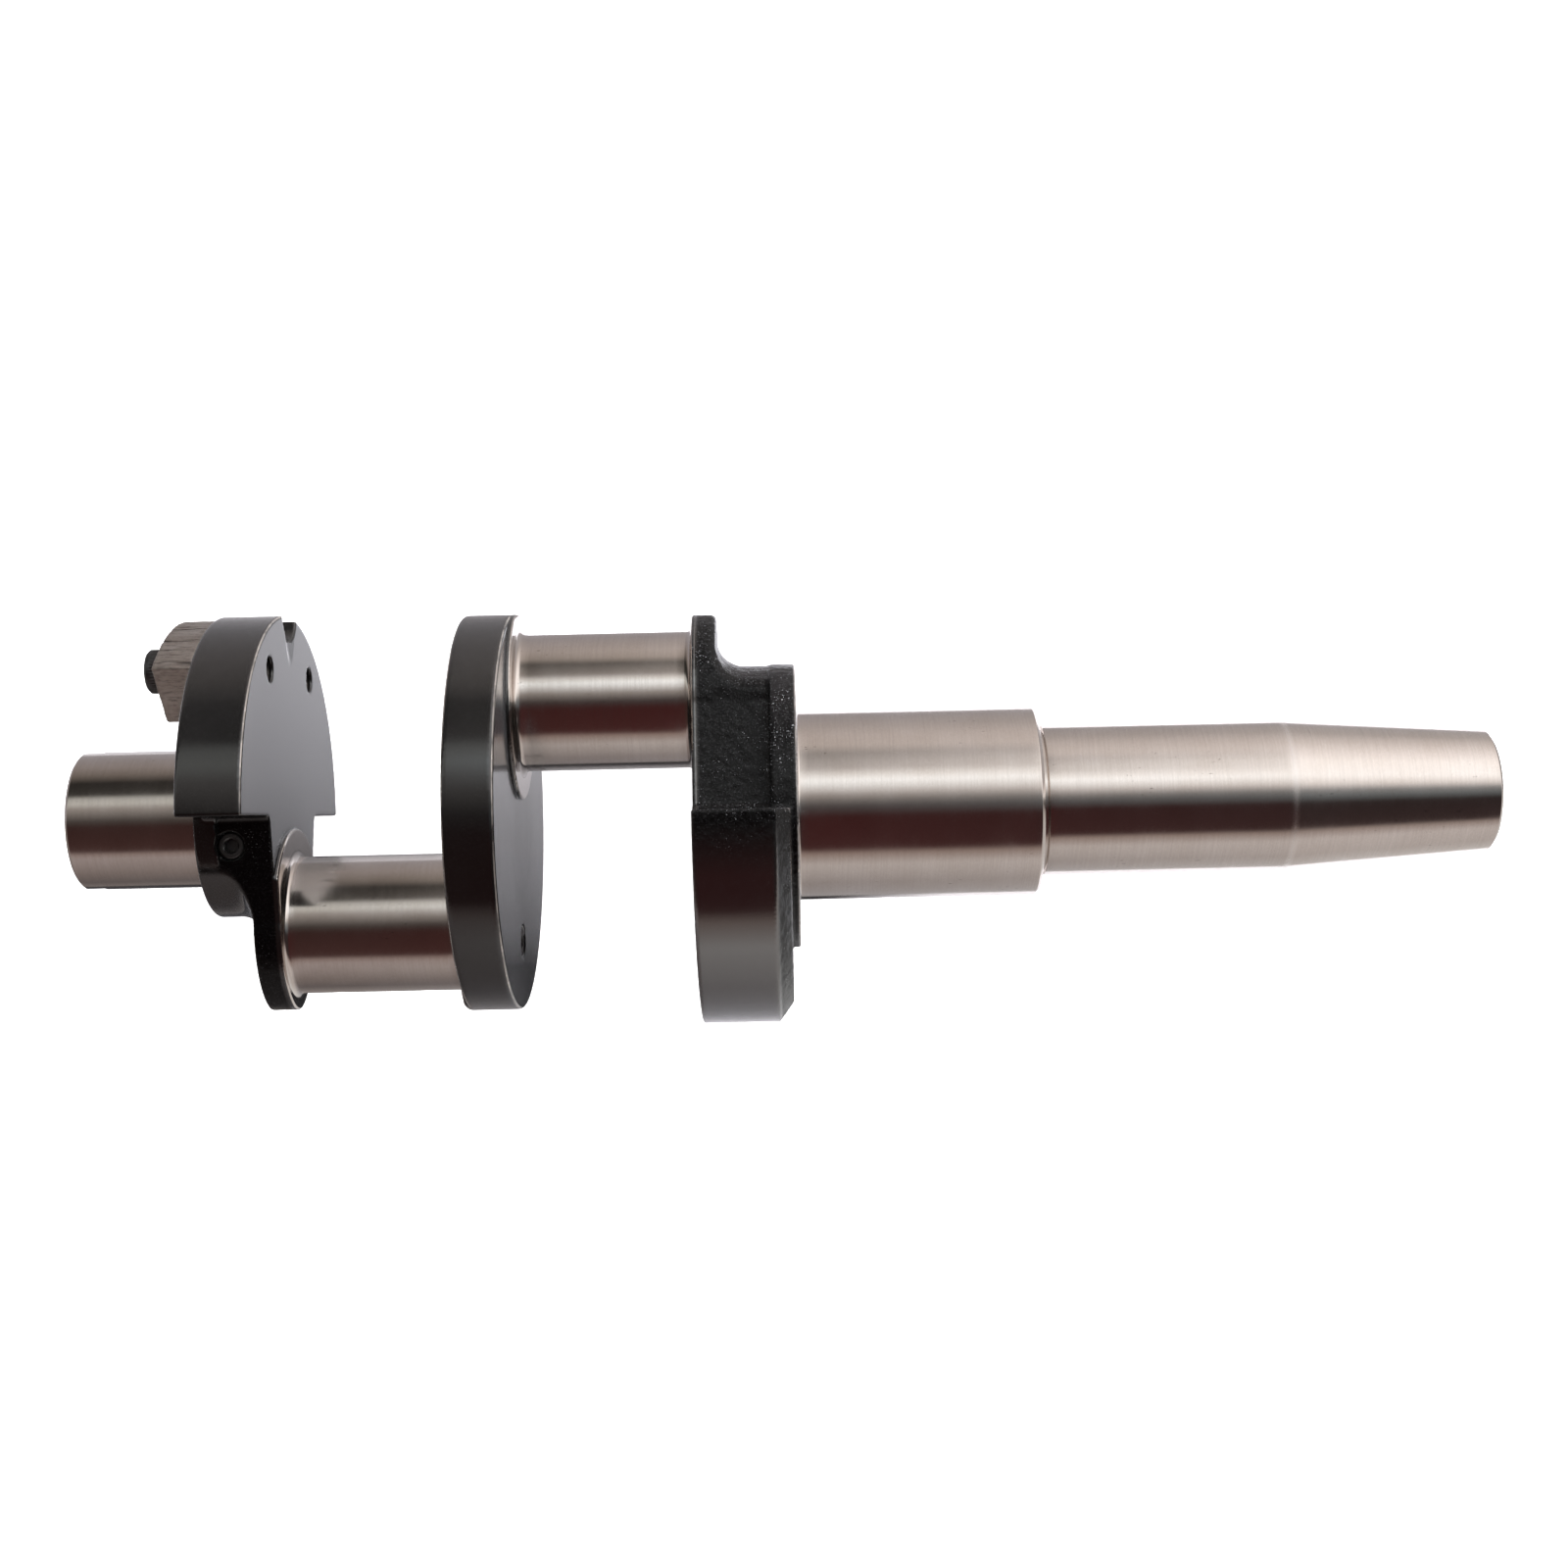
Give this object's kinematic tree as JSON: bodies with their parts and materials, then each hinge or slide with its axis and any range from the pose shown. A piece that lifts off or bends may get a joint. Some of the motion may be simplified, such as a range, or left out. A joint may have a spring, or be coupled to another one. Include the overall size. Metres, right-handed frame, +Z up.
{
  "type": "compressor crankshaft",
  "caption": "Crankshaft with opposed crankpins either side of a round centre disc, counterweighted webs, a bolted counterweight and a tapered drive end, for driving pistons.",
  "frame": {"origin": "on the crank axis, at the middle of the drive-end main journal", "axes": "+X along the crank axis towards the tapered drive end, +Y from the crank axis towards crankpin 2, +Z up with the crank lying on its side"},
  "size_m": [0.3281, 0.0969, 0.1006],
  "materials": {
    "casting": "ground journals and pins, dark machined and as-cast webs",
    "block": "rough sawn",
    "screws": "black oxide",
    "plugs": "dark oiled"
  },
  "bodies": {
    "root": {"crank_casting": "casting", "counterweight_block": "block", "counterweight_screw_near": "screws", "counterweight_screw_far": "screws", "hub_gallery_plug": "plugs", "pin_1_gallery_plug": "plugs", "pin_2_gallery_plug": "plugs", "disc_rim_plug": "plugs"}
  },
  "joints": []
}
